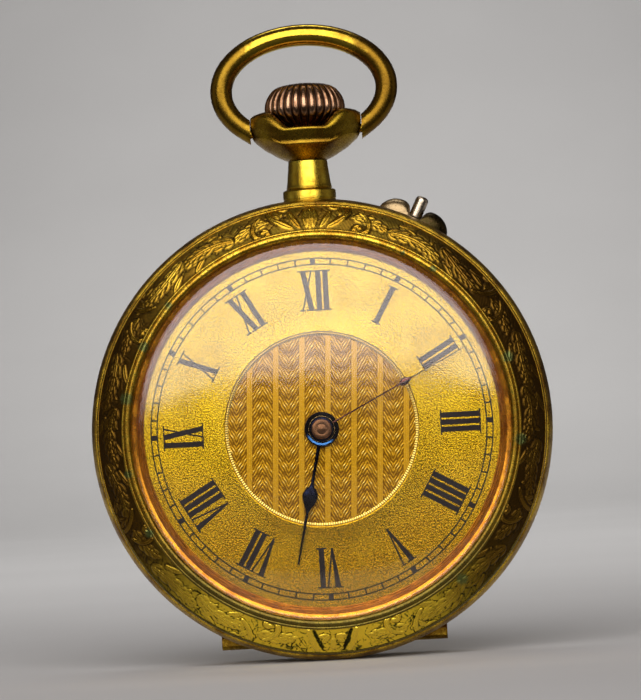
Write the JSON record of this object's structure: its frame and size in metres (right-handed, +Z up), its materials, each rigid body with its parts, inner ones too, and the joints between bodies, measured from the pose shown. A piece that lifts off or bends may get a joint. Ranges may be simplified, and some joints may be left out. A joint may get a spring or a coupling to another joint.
{
  "type": "fob watch",
  "caption": "Open-face pin-set fob watch with an engraved gilt case, a wide oval bow and a fluted winding crown.",
  "frame": {"origin": "inside of the top of the bow, the point that the watch hangs from, in the plane of the stem", "axes": "+Z up to 12 o'clock, +X to 3 o'clock, the dial faces -Y"},
  "size_m": [0.0322, 0.0104, 0.0446],
  "materials": {
    "blued_steel": "blued steel, polished",
    "crown_copper": "copper-coloured, worn",
    "crystal": "clear domed glass",
    "gilt_case": "gilt brass, worn satin",
    "gilt_dial": "gilt, fine frosted",
    "gilt_polished": "gilt brass, polished",
    "movement_brass": "gilt movement brass",
    "nickel": "nickel, polished",
    "steel": "polished steel"
  },
  "bodies": {
    "case": {"case_middle": "gilt_case", "hinge_pin": "steel", "pendant_neck": "gilt_polished", "crown_cup": "gilt_polished", "pin_guard": "nickel", "dial": "gilt_dial", "main_plate": "movement_brass", "barrel_bridge": "movement_brass", "centre_bridge": "movement_brass", "third_bridge": "movement_brass", "fourth_bridge": "movement_brass", "escape_bridge": "movement_brass", "balance_cock": "movement_brass", "barrel_bridge_screw_a": "blued_steel", "barrel_bridge_screw_b": "blued_steel", "centre_bridge_screw": "blued_steel", "fourth_bridge_screw": "blued_steel", "third_bridge_screw": "blued_steel", "escape_bridge_screw": "blued_steel", "cock_screw": "blued_steel", "click_spring": "steel", "yoke_screw": "blued_steel"},
    "bezel": {"bezel": "gilt_case", "crystal": "crystal"},
    "back": {"case_back": "gilt_case"},
    "dust_cover": {"cuvette": "gilt_polished"},
    "bow": {"bow": "gilt_polished"},
    "crown": {"crown": "crown_copper", "winding_stem": "steel", "winding_pinion": "steel"},
    "clutch": {"sliding_pinion": "steel"},
    "crown_wheel": {"crown_wheel": "steel", "crown_wheel_screw": "blued_steel"},
    "ratchet": {"ratchet_wheel": "steel", "barrel_arbor": "steel"},
    "click": {"click": "steel"},
    "setting_pin": {"setting_pin": "nickel"},
    "yoke": {"setting_yoke": "steel"},
    "minute": {"centre_arbor": "crown_copper", "centre_pinion": "steel", "centre_wheel": "movement_brass", "cannon_pinion": "steel", "minute_hand": "blued_steel"},
    "hour": {"hour_wheel": "movement_brass", "hour_hand": "blued_steel"},
    "minute_wheel": {"minute_wheel": "movement_brass"},
    "setting_wheel": {"setting_wheel": "steel"},
    "barrel": {"barrel": "movement_brass", "barrel_lid": "movement_brass", "mainspring": "blued_steel"},
    "third": {"third_pinion": "steel", "third_wheel": "movement_brass"},
    "fourth": {"fourth_pinion": "steel", "fourth_wheel": "movement_brass"},
    "escape": {"escape_pinion": "steel", "escape_wheel": "steel"},
    "balance": {"balance_wheel": "movement_brass", "balance_staff": "steel", "hairspring": "blued_steel"},
    "regulator": {"regulator": "steel"}
  },
  "joints": [
    {"name": "back_hinge", "type": "hinge", "parent": "case", "child": "back", "pos_m": [0, 0.0021, -0.04173], "axis": [-1, 0, 0], "range_deg": [0, 80]},
    {"name": "dust_cover_hinge", "type": "hinge", "parent": "case", "child": "dust_cover", "pos_m": [0, 0.0021, -0.04173], "axis": [-1, 0, 0], "range_deg": [0, 70]},
    {"name": "bezel_snap", "type": "slide", "parent": "case", "child": "bezel", "axis": [0, -1, 0], "range_m": [0, 0.006]},
    {"name": "bow_swing", "type": "hinge", "parent": "case", "child": "bow", "pos_m": [0, 0, -0.00603], "axis": [1, 0, 0], "range_deg": [-70, 70]},
    {"name": "crown_turn", "type": "hinge", "parent": "case", "child": "crown", "pos_m": [0, 0, -0.00703], "axis": [0, 0, 1], "continuous": true},
    {"name": "crown_wheel_turn", "type": "hinge", "parent": "case", "child": "crown_wheel", "pos_m": [0, 0, -0.01886], "axis": [0, 1, 0], "continuous": true},
    {"name": "ratchet_turn", "type": "hinge", "parent": "case", "child": "ratchet", "pos_m": [0.00371, 0, -0.02332], "axis": [0, 1, 0], "continuous": true},
    {"name": "click_rock", "type": "hinge", "parent": "case", "child": "click", "pos_m": [0.00786, 0.0015, -0.02537], "axis": [0, 1, 0], "range_deg": [-2, 10], "stiffness_Nm_per_rad": 0.000002},
    {"name": "setting_pin_press", "type": "slide", "parent": "case", "child": "setting_pin", "axis": [-0.4493, 0, -0.8934], "range_m": [0, 0.00045], "stiffness_N_per_m": 60},
    {"name": "yoke_rock", "type": "hinge", "parent": "case", "child": "yoke", "pos_m": [0.0072, 0.00035, -0.01813], "axis": [0, -1, 0], "range_deg": [0, 10.8]},
    {"name": "clutch_slide", "type": "slide", "parent": "case", "child": "clutch", "axis": [0, 0, -1], "range_m": [0, 0.00122]},
    {"name": "minute_turn", "type": "hinge", "parent": "case", "child": "minute", "pos_m": [0, -0.003, -0.02703], "axis": [0, 1, 0], "continuous": true},
    {"name": "hour_turn", "type": "hinge", "parent": "case", "child": "hour", "pos_m": [0, -0.003, -0.02703], "axis": [0, 1, 0], "continuous": true},
    {"name": "minute_wheel_turn", "type": "hinge", "parent": "case", "child": "minute_wheel", "pos_m": [-0.00105, 0, -0.02422], "axis": [0, 1, 0], "continuous": true},
    {"name": "setting_wheel_turn", "type": "hinge", "parent": "case", "child": "setting_wheel", "pos_m": [0, 0, -0.02093], "axis": [0, 1, 0], "continuous": true},
    {"name": "barrel_turn", "type": "hinge", "parent": "case", "child": "barrel", "pos_m": [0.00371, 0, -0.02332], "axis": [0, 1, 0], "continuous": true},
    {"name": "third_turn", "type": "hinge", "parent": "case", "child": "third", "pos_m": [-0.0005, 0, -0.03023], "axis": [0, 1, 0], "continuous": true},
    {"name": "fourth_turn", "type": "hinge", "parent": "case", "child": "fourth", "pos_m": [-0.0021, 0, -0.03253], "axis": [0, 1, 0], "continuous": true},
    {"name": "escape_turn", "type": "hinge", "parent": "case", "child": "escape", "pos_m": [-0.00486, 0, -0.03203], "axis": [0, 1, 0], "continuous": true},
    {"name": "balance_swing", "type": "hinge", "parent": "case", "child": "balance", "pos_m": [-0.00629, 0, -0.0312], "axis": [0, 1, 0], "range_deg": [-150, 150], "deforming": ["hairspring"]},
    {"name": "regulator_turn", "type": "hinge", "parent": "case", "child": "regulator", "pos_m": [-0.00629, 0.0015, -0.0312], "axis": [0, 1, 0], "range_deg": [-15, 15]}
  ],
  "couplings": [
    {"joint": "dust_cover_hinge", "follows": "back_hinge", "ratio": 0.82609},
    {"joint": "crown_wheel_turn", "follows": "crown_turn", "ratio": -0.53846},
    {"joint": "ratchet_turn", "follows": "crown_turn", "ratio": 0.4375},
    {"joint": "yoke_rock", "follows": "setting_pin_press", "rad_per_m": 410.96},
    {"joint": "clutch_slide", "follows": "setting_pin_press", "ratio": 2.6858},
    {"joint": "hour_turn", "follows": "minute_turn", "ratio": 0.083333},
    {"joint": "minute_wheel_turn", "follows": "minute_turn", "ratio": -0.33333},
    {"joint": "setting_wheel_turn", "follows": "minute_turn", "ratio": 0.625},
    {"joint": "barrel_turn", "follows": "minute_turn", "ratio": -0.16667},
    {"joint": "third_turn", "follows": "minute_turn", "ratio": -8},
    {"joint": "fourth_turn", "follows": "minute_turn", "ratio": 60},
    {"joint": "escape_turn", "follows": "minute_turn", "ratio": -600}
  ]
}
